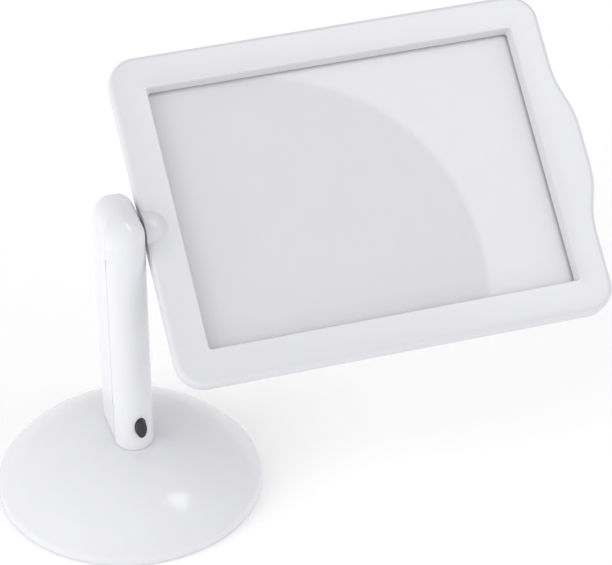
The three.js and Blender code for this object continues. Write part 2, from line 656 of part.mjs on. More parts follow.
function powerSwitch() {
  const button = buttonBlock(0, BUTTON_FACE, LIP_BACK).add(buttonBlock(BUTTON_LIP, LIP_FRONT, LIP_BACK));
  const wellBack = SWITCH_FRONT + SWITCH_DEPTH / 2;
  const plunger = behindButton(PLUNGER_RADIUS, LIP_BACK + GAP, wellBack - BUTTON_TRAVEL);
  const half = SWITCH_SIZE / 2;
  const block = box(
    [BUTTON_X - half, SWITCH_FRONT, BUTTON_Z - half],
    [BUTTON_X + half, SWITCH_BACK, BUTTON_Z + half],
  );
  const well = behindButton(PLUNGER_RADIUS + RUN, SWITCH_FRONT - CUT, wellBack + GAP);
  return [
    mesh('power_button', button, BLACK),
    mesh('switch_plunger', plunger, STEEL),
    mesh('switch_body', block.subtract(well), BLACK),
  ];
}

function armGroup() {
  const group = new THREE.Group();
  group.add(...armShells(), ...armScrews(), ...swivelParts(), ...powerSwitch());
  return group;
}

// ---- lens head --------------------------------------------------------------------------------
// Outline of the head, pulled in by inset: rounded corners, and a grip that swells out on the right.
function headOutline(inset) {
  const left = HEAD_LEFT + inset;
  const right = HEAD_RIGHT - inset;
  const half = HEAD_HALF_HEIGHT - inset;
  const corner = HEAD_CORNER - inset;
  const grip = right + GRIP_BULGE;
  const ease = (GRIP_HALF_LENGTH - GRIP_HALF_FLAT) / 2;
  const shape = new THREE.Shape();
  shape.moveTo(left + corner, -half);
  shape.lineTo(right - corner, -half);
  shape.absarc(right - corner, -half + corner, corner, -Math.PI / 2, 0);
  shape.lineTo(right, -GRIP_HALF_LENGTH);
  shape.bezierCurveTo(right, -GRIP_HALF_LENGTH + ease, grip, -GRIP_HALF_FLAT - ease, grip, -GRIP_HALF_FLAT);
  shape.lineTo(grip, GRIP_HALF_FLAT);
  shape.bezierCurveTo(grip, GRIP_HALF_FLAT + ease, right, GRIP_HALF_LENGTH - ease, right, GRIP_HALF_LENGTH);
  shape.lineTo(right, half - corner);
  shape.absarc(right - corner, half - corner, corner, 0, Math.PI / 2);
  shape.lineTo(left + corner, half);
  shape.absarc(left + corner, half - corner, corner, Math.PI / 2, Math.PI);
  shape.lineTo(left, -half + corner);
  shape.absarc(left + corner, -half + corner, corner, Math.PI, Math.PI * 1.5);
  return shape;
}

function windowOutline(grow) {
  const half = WINDOW_HEIGHT / 2 + grow;
  const corner = WINDOW_CORNER + Math.max(grow, 0);
  return roundedRectangle(WINDOW_LEFT - grow, WINDOW_RIGHT + grow, -half, half, corner);
}

// Slab of the whole head with rounded edges at front and back.
function headSlab() {
  const geometry = new THREE.ExtrudeGeometry(headOutline(0), {
    depth: HEAD_FRONT - HEAD_BACK - 2 * HEAD_EDGE,
    bevelThickness: HEAD_EDGE,
    bevelSize: HEAD_EDGE,
    bevelOffset: -HEAD_EDGE,
    bevelSegments: 3,
    curveSegments: 7,
  });
  geometry.translate(0, 0, HEAD_BACK + HEAD_EDGE);
  return solid(geometry);
}

// Cutter for the window: square to the face behind the lens, leaning out towards the front.
function windowCutter() {
  const throat = windowOutline(-WINDOW_DRAFT);
  const reach = HEAD_FRONT - LENS_FACE;
  const flare = new THREE.ExtrudeGeometry(throat, {
    depth: CUT,
    bevelThickness: reach + CUT,
    bevelSize: WINDOW_DRAFT * (reach + CUT) / reach,
    bevelSegments: 1,
    curveSegments: 4,
  });
  flare.translate(0, 0, HEAD_FRONT + CUT);
  return solid(flare).add(raised(throat, HEAD_BACK - CUT, HEAD_FRONT + CUT));
}

// Bullet-shaped hub round the axle, on the edge beside the arm.
function hubSolid() {
  const straight = bar('x', HUB_RADIUS, HEAD_LEFT, HUB_CENTRE, AXLE_ROW);
  const ball = new THREE.SphereGeometry(HUB_RADIUS, ROUND_SIDES, SMALL_SIDES);
  ball.rotateZ(Math.PI / 2);
  ball.translate(HUB_CENTRE, AXLE_ROW, 0);
  const halfSpace = box([HUB_CENTRE - RUN, -FAR, -FAR], [FAR, FAR, FAR]);
  return straight.add(solid(ball).intersect(halfSpace));
}

const SCREW_ROW = HEAD_HALF_HEIGHT - BORDER / 2;
const SCREW_COLUMNS = [HEAD_LEFT + HEAD_SCREW_INSET, WINDOW_CENTRE, HEAD_RIGHT - HEAD_SCREW_INSET];
const HEAD_SCREWS = [1, -1].flatMap((side) => SCREW_COLUMNS.map((x) => (
  [x, side * (x === WINDOW_CENTRE ? SCREW_ROW + CUT : SCREW_ROW - HEAD_SCREW_DROP)]
)));
const LED_ROW = WINDOW_HEIGHT / 2 + BORDER * 0.45;
const LED_PLACES = LED_STEPS.map((step) => [WINDOW_CENTRE + step * LED_PITCH, LED_ROW]);

// Ring-shaped room inside the border, between the outer wall and the window wall.
function borderRoom(low, high) {
  const ring = headOutline(HEAD_SIDE_WALL);
  const island = windowOutline(HEAD_WALL + LENS_LAND + GAP);
  return raised(ring, low, high, 6).subtract(raised(island, low - CUT, high + CUT));
}

// Bars square to the face, at a list of places.
function through(places, radius, low, high, sides) {
  return places.map(([x, y]) => bar('z', radius, low, high, x, y, sides));
}

// Room for the axle, its collar and the lens, half of it in each bezel.
function headRooms() {
  const shaftEnd = HUB_CENTRE + AXLE_COLLAR_THICKNESS + AXLE_TAIL;
  const collarEnd = HUB_CENTRE + AXLE_COLLAR_THICKNESS;
  return [
    bar('x', AXLE_RADIUS + RUN, 0, shaftEnd + CUT, AXLE_ROW),
    bar('x', AXLE_COLLAR_RADIUS + GAP, HUB_CENTRE - GAP, collarEnd + GAP, AXLE_ROW),
    raised(windowOutline(LENS_LAND + GAP), LENS_BACK - GAP, LENS_FACE + GAP),
  ];
}

function bezels() {
  const split = GAP / 2;
  const slab = headSlab().subtract(windowCutter());
  const hub = hubSolid();
  const bossLow = HEAD_BACK + HEAD_WALL / 2;
  const bosses = through(HEAD_SCREWS, HEAD_SCREW_BOSS, bossLow, HEAD_FRONT - HEAD_WALL / 2, TINY_SIDES);
  const frontHollow = slab.subtract(borderRoom(-CUT, HEAD_FRONT - HEAD_WALL));
  const rearHollow = slab.subtract(borderRoom(HEAD_BACK + HEAD_WALL, CUT));
  const frontHalf = box([-FAR, -FAR, split], [FAR, FAR, FAR]);
  const rearHalf = box([-FAR, -FAR, -FAR], [FAR, FAR, -split]);
  const below = HEAD_BACK - CUT;
  const sinkTop = HEAD_BACK + SCREW_SINK + SCREW_HEAD_HEIGHT + GAP / 2;
  const front = cutAll(joinAll([frontHollow, hub, ...bosses]).intersect(frontHalf), [
    ...headRooms(),
    ...through(HEAD_SCREWS, SCREW_PILOT, -CUT, HEAD_FRONT - HEAD_WALL, TINY_SIDES),
  ]);
  const rear = cutAll(joinAll([rearHollow, hub, ...bosses]).intersect(rearHalf), [
    ...headRooms(),
    ...through(HEAD_SCREWS, SCREW_HEAD_RADIUS + GAP, below, sinkTop, SMALL_SIDES),
    ...through(HEAD_SCREWS, SCREW_RADIUS + GAP, below, CUT, TINY_SIDES),
    ...through(LED_PLACES, LED_RADIUS + GAP, below, CUT, SMALL_SIDES),
  ]);
  return [mesh('bezel_front', front, WHITE), mesh('bezel_rear', rear, WHITE)];
}

function lens() {
  return mesh('lens', raised(windowOutline(LENS_LAND), LENS_BACK, LENS_FACE), CLEAR);
}

// Hollow shaft fixed in the head by its collar and held in the arm by a washer and a nut.
function tiltAxle() {
  const washerRight = ARM_HALF_WIDTH - ARM_WALL - GAP;
  const washerLeft = washerRight - TILT_WASHER_THICKNESS;
  const nutRight = washerLeft - GAP;
  const nutLeft = nutRight - AXLE_NUT_THICKNESS;
  const collarEnd = HUB_CENTRE + AXLE_COLLAR_THICKNESS;
  const shaft = bar('x', AXLE_RADIUS, nutLeft - CUT, collarEnd + AXLE_TAIL, AXLE_ROW);
  const collar = bar('x', AXLE_COLLAR_RADIUS, HUB_CENTRE, collarEnd, AXLE_ROW);
  const boreEnd = collarEnd + AXLE_TAIL + CUT;
  const bore = bar('x', AXLE_BORE, nutLeft - 2 * CUT, boreEnd, AXLE_ROW, 0, SMALL_SIDES);
  const hole = bar('x', AXLE_RADIUS + GAP, -FAR, FAR, AXLE_ROW);
  const washer = bar('x', TILT_WASHER_RADIUS, washerLeft, washerRight, AXLE_ROW).subtract(hole);
  const nut = bar('x', AXLE_NUT_RADIUS, nutLeft, nutRight, AXLE_ROW, 0, 6).subtract(hole);
  return [
    mesh('tilt_axle', shaft.add(collar).subtract(bore), STEEL),
    mesh('tilt_washer', washer, BRASS),
    mesh('tilt_nut', nut, STEEL),
  ];
}

function lamps() {
  const left = LED_PLACES[0][0] - LED_BOARD_END;
  const right = LED_PLACES[LED_PLACES.length - 1][0] + LED_BOARD_END;
  const half = LED_BOARD_WIDTH / 2;
  const board = box([left, LED_ROW - half, BOARD_BOTTOM], [right, LED_ROW + half, BOARD_TOP]);
  const notches = through(HEAD_SCREWS, HEAD_SCREW_BOSS + GAP, HEAD_BACK, HEAD_FRONT, SMALL_SIDES);
  const posts = through(LED_PLACES, LED_RADIUS, HEAD_BACK + LED_RECESS, BOARD_BOTTOM - GAP, SMALL_SIDES);
  const leds = posts.map((post, i) => mesh(`led_${i + 1}`, post, CLEAR));
  return [mesh('led_board', cutAll(board, notches), BOARD), ...leds];
}

function headGroup() {
  const group = new THREE.Group();
  group.add(...bezels(), lens(), ...tiltAxle(), ...lamps());
  HEAD_SCREWS.forEach(([x, y], i) => {
    group.add(screw(`head_screw_${i + 1}`, [x, y, HEAD_BACK + SCREW_SINK], Math.PI, HEAD_SCREW_LENGTH));
  });
  const tilt = THREE.MathUtils.degToRad(REST_TILT);
  group.position.y = PIVOT_Y - AXLE_ROW * Math.cos(tilt);
  group.position.z = PIVOT_HEIGHT - AXLE_ROW * Math.sin(tilt);
  group.rotation.x = tilt;
  return group;
}

const magnifier = new THREE.Group();
magnifier.add(baseGroup(), armGroup(), headGroup());
export default magnifier;
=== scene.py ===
"""Desk magnifier: moulded skins, clear lens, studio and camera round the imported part.

Shapes are worked out in millimetres and stored in metres. The head's own frame has x along the
tilt axis, y up its face and z out of its face.
"""

import math

import bmesh
import bpy
import numpy as np
from mathutils import Matrix, Vector


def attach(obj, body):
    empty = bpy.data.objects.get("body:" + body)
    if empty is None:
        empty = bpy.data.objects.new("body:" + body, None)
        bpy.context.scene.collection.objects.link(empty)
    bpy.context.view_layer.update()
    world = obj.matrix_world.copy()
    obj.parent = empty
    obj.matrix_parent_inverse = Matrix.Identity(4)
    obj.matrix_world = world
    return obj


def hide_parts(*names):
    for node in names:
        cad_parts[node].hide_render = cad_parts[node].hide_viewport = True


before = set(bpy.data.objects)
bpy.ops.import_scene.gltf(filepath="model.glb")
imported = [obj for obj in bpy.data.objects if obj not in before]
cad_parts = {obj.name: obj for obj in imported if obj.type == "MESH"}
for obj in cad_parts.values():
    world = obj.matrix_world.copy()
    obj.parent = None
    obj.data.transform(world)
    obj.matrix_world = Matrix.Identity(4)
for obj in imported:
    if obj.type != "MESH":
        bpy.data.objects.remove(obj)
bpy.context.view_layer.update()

MM = 0.001

# ---- sizes, in millimetres ----------------------------------------------------------------------
BASE_RADIUS = 67.2
RIM_TOP = 5.4
RIM_BOTTOM = 0.7
DOME_HEIGHT = 39.8
DOME_WALL = 2.2
DOME_HOLE = 5.65             # radius of the hole for the swivel
SHOULDER = 1.8               # reach of the dome's softened shoulder
PAD_CIRCLE = 55.0
PAD_RADIUS = 7.0
MIDDLE_PAD_RADIUS = 8.0
PAD_HEIGHT = 1.7
DOME_RISE = DOME_HEIGHT - RIM_TOP
DOME_SPHERE = (BASE_RADIUS**2 + DOME_RISE**2) / (2 * DOME_RISE)
DOME_CENTRE = DOME_HEIGHT - DOME_SPHERE

ARM_HALF = 10.2
NOSE_HALF = 9.9
ARM_BACK = 10.9
ARM_SEAM = -12.6
SEAM_HALF = 0.28             # half the gap at the seam
SEAM_CLOSING = 0.22          # what the seam loses of it over the crown
CLOSING_FROM = 148.0
CLOSING_RISE = 6.0
CLOSING_REACH = 1.5
NOSE_DEPTH = 9.5
ARM_FRONT = ARM_SEAM - NOSE_DEPTH
ARM_TOP = 171.0
CROWN_FRONT = 11.0
CROWN_BACK = 3.0
ARM_WALL = 2.0
BACK_FILLET = 2.8
NOTCH_LOW = 144.0
NOTCH_HIGH = 149.0
NOTCH_WIDTH = 1.3
ARM_SCREW_HEIGHTS = (72.0, 128.0)

BUTTON_X = 1.5
BUTTON_Z = 51.2
BUTTON_HALF_WIDTH = 2.8
BUTTON_HALF_HEIGHT = 5.2
BUTTON_FACE = ARM_FRONT - 2.6
BUTTON_LIP = ARM_SEAM - 4.6   # y of the button's hidden end
BUTTON_GAP = 0.3

PIVOT_Y = -4.42
PIVOT_HEIGHT = 155.59
TILT = math.radians(37.7)
AXLE_ROW = -2.3
HEAD_Y = PIVOT_Y - AXLE_ROW * math.cos(TILT)
HEAD_Z = PIVOT_HEIGHT - AXLE_ROW * math.sin(TILT)
HEAD_LEFT = 10.9
BORDER = 17.2
WINDOW_WIDTH = 188.6
WINDOW_HEIGHT = 134.8
WINDOW_CORNER = 1.5
WINDOW_DRAFT = 1.5
HEAD_CORNER = 14.0
HEAD_FRONT = 5.5
HEAD_BACK = -5.0
HEAD_EDGE = 2.5
GRIP_BULGE = 6.4
GRIP_HALF_FLAT = 8.0
GRIP_HALF_LENGTH = 47.0
LENS_FACE = -0.4
LENS_THICKNESS = 1.8
LENS_LAND = 2.4
HUB_RADIUS = 9.6
HUB_STRAIGHT = 3.3
WINDOW_LEFT = HEAD_LEFT + BORDER
WINDOW_RIGHT = WINDOW_LEFT + WINDOW_WIDTH
WINDOW_CENTRE = (WINDOW_LEFT + WINDOW_RIGHT) / 2
HEAD_RIGHT = WINDOW_RIGHT + 16.0
HEAD_HALF = WINDOW_HEIGHT / 2 + BORDER
SPLIT = 0.15                  # half the gap between the two frames
LIP_BOTTOM = 0.7             # where the window wall ends over the lens
SEAT_ROOM = 0.3              # room round the lens in its seat
WINDOW_EDGE = 0.55           # rounding of the window's front edge
SCREW_WELL = 2.7
SCREW_WAY = 1.3
LAMP_RADIUS = 1.5
LAMP_WAY = 1.8
LAMP_TOP = -1.8
LAMP_RECESS = 0.4
AXLE_WAY = 3.72
SCREW_ROW = HEAD_HALF - BORDER / 2
HEAD_SCREWS = [
    (x, side * row)
    for side in (1, -1)
    for x, row in (
        (HEAD_LEFT + 9, SCREW_ROW - 4),
        (WINDOW_CENTRE, SCREW_ROW + 1),
        (HEAD_RIGHT - 9, SCREW_ROW - 4),
    )
]
LAMPS = [(WINDOW_CENTRE + step * 29.5, WINDOW_HEIGHT / 2 + BORDER * 0.45) for step in (-2, -1, 1, 2)]


# ---- meshes ---------------------------------------------------------------------------------------
def weave(grid, start, around, along):
    """Quads between neighbours of a grid[row, column], joined end to end if around or along."""
    rows, columns = grid.shape[:2]
    index = start + np.arange(rows * columns).reshape(rows, columns)
    if around:
        index = np.hstack([index, index[:, :1]])
    if along:
        index = np.vstack([index, index[:1]])
    return np.stack([index[:-1, :-1], index[:-1, 1:], index[1:, 1:], index[1:, :-1]], -1).reshape(-1, 4)


def tidy(mesh, sharp):
    """Merges coincident vertices, turns every face outwards and marks edges sharper than an angle."""
    work = bmesh.new()
    work.from_mesh(mesh)
    bmesh.ops.remove_doubles(work, verts=work.verts, dist=2e-6)
    bmesh.ops.dissolve_degenerate(work, edges=work.edges, dist=1e-6)
    bmesh.ops.recalc_face_normals(work, faces=work.faces)
    for face in work.faces:
        face.smooth = True
    work.to_mesh(mesh)
    work.free()
    mesh.set_sharp_from_angle(angle=math.radians(sharp))


def surface(name, grids, sharp=40.0):
    """One mesh object from (grid, around, along) surfaces; a grid of two axes is a single flat face."""
    points, faces, start = [], [], 0
    for grid, around, along in grids:
        grid = np.asarray(grid, float)
        points.append(grid.reshape(-1, 3) * MM)
        if grid.ndim == 2:
            faces.append(tuple(range(start, start + len(grid))))
        else:
            faces.extend(map(tuple, weave(grid, start, around, along).tolist()))
        start += grid.reshape(-1, 3).shape[0]
    mesh = bpy.data.meshes.new(name)
    mesh.from_pydata(np.concatenate(points), [], faces)
    tidy(mesh, sharp)
    piece = bpy.data.objects.new(name, mesh)
    bpy.context.scene.collection.objects.link(piece)
    return piece


def carve(piece, cutters, sharp=40.0):
    """Takes closed cutters out of a closed piece, and removes the cutters."""
    for cutter in cutters:
        step = piece.modifiers.new("carve", "BOOLEAN")
        step.object = cutter
        step.solver = "EXACT"
    graph = bpy.context.evaluated_depsgraph_get()
    mesh = bpy.data.meshes.new_from_object(piece.evaluated_get(graph))
    piece.modifiers.clear()
    piece.data = mesh
    mesh.name = piece.name
    for cutter in cutters:
        bpy.data.objects.remove(cutter)
    tidy(mesh, sharp)
    return piece


def turned(profile, sides=96, axis="z", centre=(0.0, 0.0)):
    """Points of radius and height turned a full circle about an axis: a grid[height, angle]."""
    profile = np.asarray(profile, float)
    angle = np.linspace(0, 2 * math.pi, sides, endpoint=False)
    a = profile[:, :1] * np.cos(angle)
    b = profile[:, :1] * np.sin(angle)
    height = np.repeat(profile[:, 1:], sides, axis=1)
    if axis == "x":
        return np.stack([height, a + centre[0], b + centre[1]], -1)
    if axis == "y":
        return np.stack([a + centre[0], height, b + centre[1]], -1)
    return np.stack([a + centre[0], b + centre[1], height], -1)


def rod(name, radius, low, high, axis="z", centre=(0.0, 0.0), sides=48):
    """A plain closed round bar, for cutting."""
    section = [[0, low], [radius, low], [radius, high], [0, high]]
    return surface(name, [(turned(section, sides, axis, centre), True, False)])


def to_head(points):
    """Points of the head's own frame turned by the rest tilt and carried to the head's place."""
    x, y, z = np.moveaxis(np.asarray(points, float), -1, 0)
    return np.stack([
        x,
        y * math.cos(TILT) - z * math.sin(TILT) + HEAD_Y,
        y * math.sin(TILT) + z * math.cos(TILT) + HEAD_Z,
    ], -1)


def arc(centre, radius, start, end, count):
    """Points on a circle in two dimensions, between two angles in degrees."""
    angle = np.radians(np.linspace(start, end, count))
    return np.stack([centre[0] + radius * np.cos(angle), centre[1] + radius * np.sin(angle)], -1)


def bezier(p0, p1, p2, p3, count):
    """Points of a cubic curve by its Bernstein sum."""
    t = np.linspace(0, 1, count)[:, None]
    return (1 - t) ** 3 * p0 + 3 * t * (1 - t) ** 2 * p1 + 3 * t**2 * (1 - t) * p2 + t**3 * p3


def spread(points, count):
    """The same open path with points at equal steps along its length."""
    steps = np.concatenate([[0], np.cumsum(np.linalg.norm(np.diff(points, axis=0), axis=1))])
    wanted = np.linspace(0, steps[-1], count)
    return np.stack([np.interp(wanted, steps, points[:, k]) for k in range(points.shape[1])], -1)


# ---- shader maths ---------------------------------------------------------------------------------
class Wire:
    """An output socket that takes part in sums as a number would."""

    def __init__(self, finish, socket):
        self.finish = finish
        self.socket = socket

    def maths(self, operation, first, second=0.0):
        return self.finish.node("ShaderNodeMath", {"operation": operation}, {0: first, 1: second})

    def __add__(self, other):
        return self.maths("ADD", self, other)

    def __sub__(self, other):
        return self.maths("SUBTRACT", self, other)

    def __mul__(self, other):
        return self.maths("MULTIPLY", self, other)

    def __rsub__(self, other):
        return self.maths("SUBTRACT", other, self)

    __radd__ = __add__
    __rmul__ = __mul__


class Finish:
    """A material under construction."""

    def __init__(self, name):
        self.material = bpy.data.materials.new(name)
        self.material.use_nodes = True
        self.tree = self.material.node_tree
        self.tree.nodes.clear()

    def node(self, kind, settings=None, sockets=None, out=0):
        """A node of a type, its settings, then the values or wires of its sockets; gives one output."""
        made = self.tree.nodes.new(kind)
        for key, value in (settings or {}).items():
            if key == "stops":
                ramp = made.color_ramp
                while len(ramp.elements) < len(value):
                    ramp.elements.new(0.5)
                for stop, (place, shade) in zip(ramp.elements, value):
                    stop.position = place
                    stop.color = (*shade, 1.0)
            else:
                setattr(made, key, value)
        for key, value in (sockets or {}).items():
            if isinstance(value, Wire):
                self.tree.links.new(value.socket, made.inputs[key])
            else:
                made.inputs[key].default_value = value
        return Wire(self, made.outputs[out])

    def place(self):
        return self.node("ShaderNodeTexCoord", out="Object")

    def noise(self, scale, detail=2.0, rough=0.5, place=None):
        sockets = {"Vector": place or self.place(), "Scale": scale, "Detail": detail, "Roughness": rough}
        return self.node("ShaderNodeTexNoise", None, sockets)

    def blend(self, factor, first, second):
        """Mixes two colours."""
        settings = {"data_type": "RGBA"}
        return self.node("ShaderNodeMix", settings, {0: factor, 6: first, 7: second}, out=2)

    def bump(self, height, strength, distance):
        sockets = {"Height": height, "Strength": strength, "Distance": distance}
        return self.node("ShaderNodeBump", None, sockets)

    def done(self, **sockets):
        names = {key.replace("_", " "): value for key, value in sockets.items()}
        shader = self.node("ShaderNodeBsdfPrincipled", None, names)
        end = self.tree.nodes.new("ShaderNodeOutputMaterial")
        self.tree.links.new(shader.socket, end.inputs["Surface"])
        return self.material


def rgb(value, green=None, blue=None):
    """A colour with full alpha; one value alone makes a grey."""
    return (value, value if green is None else green, value if blue is None else blue, 1.0)


def moulded(name, light, dark, gloss, sheen, grain):
    """Moulded plastic: a faint drift of shade, a faint drift of gloss and a fine grain."""
    make = Finish(name)
    place = make.place()
    cloud = make.noise(14.0, 3.0, place=place)
    haze = make.noise(60.0, 4.0, place=place)
    fine = make.noise(2600.0, 2.0, place=place)
    wave = make.noise(35.0, 1.0, place=place)
    return make.done(
        Base_Color=make.blend(cloud, light, dark),
        Roughness=haze * 0.06 + (gloss - 0.03),
        Coat_Weight=sheen,
        Coat_Roughness=0.08,
        IOR=1.5,
        Normal=make.bump(fine * grain + wave * 0.15, 0.12, 0.0004),
    )


def metal(name, light, dark, rough, grain=900.0):
    """Plated metal: a little patchy in shade and gloss."""
    make = Finish(name)
    place = make.place()
    cloud = make.noise(180.0, 4.0, place=place)
    fine = make.noise(grain, 2.0, place=place)
    return make.done(
        Base_Color=make.blend(cloud, light, dark),
        Roughness=cloud * 0.16 + rough,
        Metallic=1.0,
        Normal=make.bump(fine, 0.15, 0.0002),
    )


def plain(name, light, dark, rough, grain, distance=0.0002, **rest):
    """Plain matter with a drift of shade and a bumpy grain."""
    make = Finish(name)
    place = make.place()
    cloud = make.noise(90.0, 3.0, place=place)
    fine = make.noise(grain, 3.0, place=place)
    return make.done(
        Base_Color=make.blend(cloud, light, dark),
        Roughness=cloud * 0.1 + rough,
        Normal=make.bump(fine, 0.3, distance),
        **rest,
    )


def clear_sheet():
    """Clear acrylic under a grey veil of painted shade that dims the whole lens: partly see-through,
    polished, with the finest haze.
    """
    make = Finish("clear_acrylic")
    place = make.place()
    haze = make.noise(30.0, 2.0, place=place)
    return make.done(
        # The grey base colour and the partial opacity are painted shade laid over the clear sheet.
        Base_Color=make.blend(haze, rgb(0.725, 0.722, 0.742), rgb(0.735, 0.732, 0.752)),
        Roughness=haze * 0.02 + 0.02,
        Alpha=haze * 0.02 + 0.62,
        IOR=1.49,
    )


def jacket():
    """Cell sleeve: dark blue body with a pale band at one end, by place along the cell."""
    make = Finish("cell_jacket")
    place = make.place()
    apart = make.node("ShaderNodeSeparateXYZ", None, {0: place}, out=0)
    band = make.node("ShaderNodeMath", {"operation": "GREATER_THAN"}, {0: apart, 1: 0.012})
    cloud = make.noise(120.0, 2.0, place=place)
    return make.done(
        Base_Color=make.blend(band, rgb(0.03, 0.06, 0.16), rgb(0.55, 0.56, 0.58)),
        Roughness=cloud * 0.1 + 0.28,
        Metallic=0.3,
    )


def board():
    """Circuit board: green coat over paler tracks that run along it."""
    make = Finish("circuit_board")
    place = make.place()
    stripes = {"wave_type": "BANDS", "bands_direction": "Y"}
    tracks = make.node("ShaderNodeTexWave", stripes, {"Vector": place, "Scale": 300.0})
    cloud = make.noise(200.0, 2.0, place=place)
    return make.done(
        Base_Color=make.blend(tracks * 0.5, rgb(0.02, 0.13, 0.05), rgb(0.04, 0.22, 0.09)),
        Roughness=cloud * 0.1 + 0.3,
        Normal=make.bump(tracks, 0.2, 0.0002),
    )


# The two whites below are one white moulding in two shades: the lighter base colour of the dome and arm
# is painted light, and the darker one of the head's frames and hub is painted shade.
SHADED_WHITE = moulded("white_painted_shade", rgb(0.70, 0.702, 0.735), rgb(0.69, 0.692, 0.725), 0.30, 0.15, 0.5)
LIT_WHITE = moulded("white_painted_light", rgb(0.775, 0.777, 0.81), rgb(0.765, 0.767, 0.80), 0.20, 0.35, 0.25)
INNER_WHITE = moulded("inner_white", rgb(0.70, 0.70, 0.705), rgb(0.68, 0.68, 0.685), 0.50, 0.0, 1.5)
# The black below is painted shade: it fills the gap between the window's lip and the lens, where there
# is only shadow.
GAP_SHADE_BLACK = plain("painted_gap_shade", rgb(0.012), rgb(0.02), 0.8, 1800.0)
SATIN_BLACK = plain("satin_black", rgb(0.018), rgb(0.025), 0.32, 2500.0, 0.00008)
RUBBER = plain("pad_rubber", rgb(0.03), rgb(0.045), 0.75, 1500.0)
CAST = plain("cast_plate", rgb(0.10), rgb(0.16), 0.55, 700.0, 0.0006, Metallic=0.6)
STEEL = metal("plated_steel", rgb(0.62), rgb(0.50), 0.22)
BRASS = metal("brass_sheet", rgb(0.70, 0.52, 0.22), rgb(0.60, 0.43, 0.17), 0.25)
LAMP = plain("lamp_resin", rgb(0.85, 0.83, 0.66), rgb(0.80, 0.76, 0.55), 0.08, 500.0, 0.00005)
LENS_CLEAR = clear_sheet()
JACKET = jacket()
BOARD = board()


def dress(piece, material, body, slot, *nodes):
    """Gives a piece its material and its body and hides the CAD nodes that it stands for; the record
    slot is not used.
    """
    piece.data.materials.clear()
    piece.data.materials.append(material)
    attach(piece, body)
    if nodes:
        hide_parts(*nodes)
    return piece


# ---- base -----------------------------------------------------------------------------------------
def dome_height(radius, grow=0.0):
    """Height of a sphere's cap: its centre plus the root of radius squared less distance squared."""
    return DOME_CENTRE + np.sqrt((DOME_SPHERE + grow) ** 2 - np.asarray(radius, float) ** 2)


def dome_profile():
    """Closed section of the dome: cap, softened shoulder, upright rim, lip, then the cap's inside."""
    outer = DOME_HOLE + (BASE_RADIUS - SHOULDER - DOME_HOLE) * np.sin(np.linspace(0, math.pi / 2, 48))
    cap = np.stack([outer, dome_height(outer)], -1)
    start = cap[-1]
    end = np.array([BASE_RADIUS, RIM_TOP - SHOULDER])
    corner = np.array([BASE_RADIUS, RIM_TOP + 0.1])
    shoulder = bezier(start, start + (corner - start) * 0.75, corner, end, 14)[1:]
    lip = np.array([[0.0, 1.5], [-0.15, 1.0], [-0.6, RIM_BOTTOM], [-2.0, RIM_BOTTOM], [-DOME_WALL, 0.9]])
    lip += [BASE_RADIUS, 0.0]
    inner = np.linspace(BASE_RADIUS - DOME_WALL, DOME_HOLE, 24)
    inside = np.stack([inner, dome_height(inner, -DOME_WALL)], -1)
    return np.concatenate([cap, shoulder, lip, inside])


dome = surface("dome_skin", [(turned(dome_profile(), 160), True, True)], 50)
dress(dome, LIT_WHITE, "base", "white_abs", "base_shell")


def pad_profile(radius, height):
    """Round pad: flat foot, small rounding, upright side, flat top."""
    return np.concatenate([
        [[0, 0]],
        arc((radius - 0.4, 0.4), 0.4, -90, 0, 6),
        arc((radius - 0.3, height - 0.3), 0.3, 0, 90, 6),
        [[0, height]],
    ])


PAD_TURNS = np.arange(4) * math.pi / 2
PAD_PLACES = [(PAD_CIRCLE * math.cos(a), PAD_CIRCLE * math.sin(a)) for a in PAD_TURNS]
for number, place in enumerate(PAD_PLACES, 1):
    section = pad_profile(PAD_RADIUS, PAD_HEIGHT)
    pad = surface(f"round_pad_{number}", [(turned(section, 48, "z", place), True, False)])
    dress(pad, RUBBER, "base", "black_rubber", f"foot_pad_{number}")
middle_section = pad_profile(MIDDLE_PAD_RADIUS, PAD_HEIGHT)
middle_pad = surface("middle_pad", [(turned(middle_section, 48), True, False)])
dress(middle_pad, RUBBER, "base", "black_rubber", "centre_pad")


# ---- arm ------------------------------------------------------------------------------------------
def arm_outline(part, inset, count):
    """Plan of one shell from seam to seam: half an ellipse in front, filleted corners behind."""
    half = ARM_HALF - inset
    nose = NOSE_HALF - inset
    back = ARM_BACK - inset
    fillet = max(BACK_FILLET - inset, 0.6)
    if part == "front":
        angle = np.linspace(0, -math.pi, count)
        seam = ARM_SEAM - SEAM_HALF
        depth = NOSE_DEPTH - SEAM_HALF - inset
        return np.stack([nose * np.cos(angle), seam + depth * np.sin(angle)], -1)
    path = np.concatenate([
        [[-nose, ARM_SEAM + SEAM_HALF]],
        arc((-half + fillet, back - fillet), fillet, 180, 90, 16),
        arc((half - fillet, back - fillet), fillet, 90, 0, 16),
        [[nose, ARM_SEAM + SEAM_HALF]],
    ])
    return spread(path, count)


